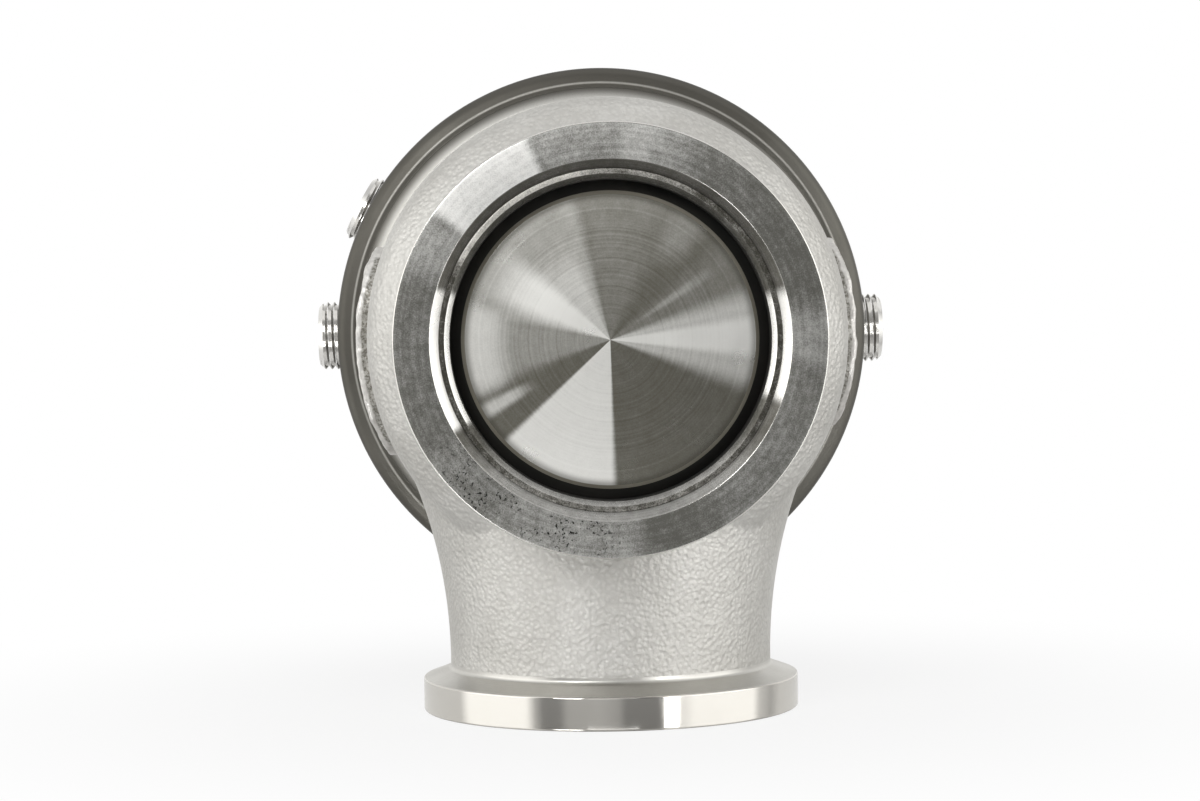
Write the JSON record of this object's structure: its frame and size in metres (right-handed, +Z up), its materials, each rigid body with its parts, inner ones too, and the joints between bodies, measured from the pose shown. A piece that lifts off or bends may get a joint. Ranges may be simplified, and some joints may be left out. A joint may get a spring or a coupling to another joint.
{
  "type": "turbo wastegate",
  "caption": "External turbo wastegate: cast V-band elbow housing with a poppet valve in the inlet and a round spring and diaphragm actuator behind it.",
  "frame": {"origin": "centre of the outlet flange's face, on the surface that the part stands on", "axes": "+Z up along the outlet bore; the valve's axis is along +Y, from the inlet face towards the actuator's cap; +X is to the right for someone who looks into the inlet"},
  "size_m": [0.085, 0.1128, 0.091],
  "materials": {
    "cast_stainless": "blasted casting with a fine pebble grain, machined on both flanges",
    "rolled_stainless": "rolled plate with a rough cut edge",
    "weld_bead": "blasted weld bead with soft ripples",
    "turned_stainless": "turned on a lathe, with fine rings and fanned highlights",
    "guide_bronze": "machined bronze",
    "graphite": "pressed graphite sheet",
    "plated_steel": "zinc plated",
    "satin_aluminium": "satin, bead blasted and clear anodised",
    "diaphragm_silicone": "silicone rubber on fabric",
    "spring_steel": "shot-peened and lacquered spring wire",
    "chromed_plug": "bright nickel chrome",
    "screw_steel": "stainless socket-head screws"
  },
  "bodies": {
    "root": {"valve_housing": "cast_stainless", "valve_seat": "turned_stainless", "valve_guide": "guide_bronze", "stem_seal": "graphite", "seal_retainer": "plated_steel", "housing_gasket": "graphite", "actuator_base": "satin_aluminium", "actuator_cap": "satin_aluminium", "diaphragm": "diaphragm_silicone", "side_cover_left": "rolled_stainless", "side_weld_left": "weld_bead", "side_cover_right": "rolled_stainless", "side_weld_right": "weld_bead", "port_plug_left": "chromed_plug", "port_plug_upper": "chromed_plug", "port_plug_right": "chromed_plug", "outer_spring": "spring_steel", "middle_spring": "spring_steel", "inner_spring": "spring_steel", "base_screw_1": "screw_steel", "base_screw_2": "screw_steel", "base_screw_3": "screw_steel", "base_screw_4": "screw_steel", "cap_screw_1": "screw_steel", "cap_screw_2": "screw_steel", "cap_screw_3": "screw_steel", "cap_screw_4": "screw_steel", "cap_screw_5": "screw_steel", "cap_screw_6": "screw_steel"},
    "valve_group": {"valve": "turned_stainless", "lower_plate": "satin_aluminium", "spring_cup": "satin_aluminium", "stem_washer": "plated_steel", "stem_nut": "plated_steel"}
  },
  "joints": [
    {"name": "valve_lift", "type": "slide", "parent": "root", "child": "valve_group", "axis": [0, 1, 0], "range_m": [0, 0.011], "stiffness_N_per_m": 13900, "springref_m": -0.015, "deforming": ["outer_spring", "middle_spring", "inner_spring", "diaphragm"]}
  ]
}
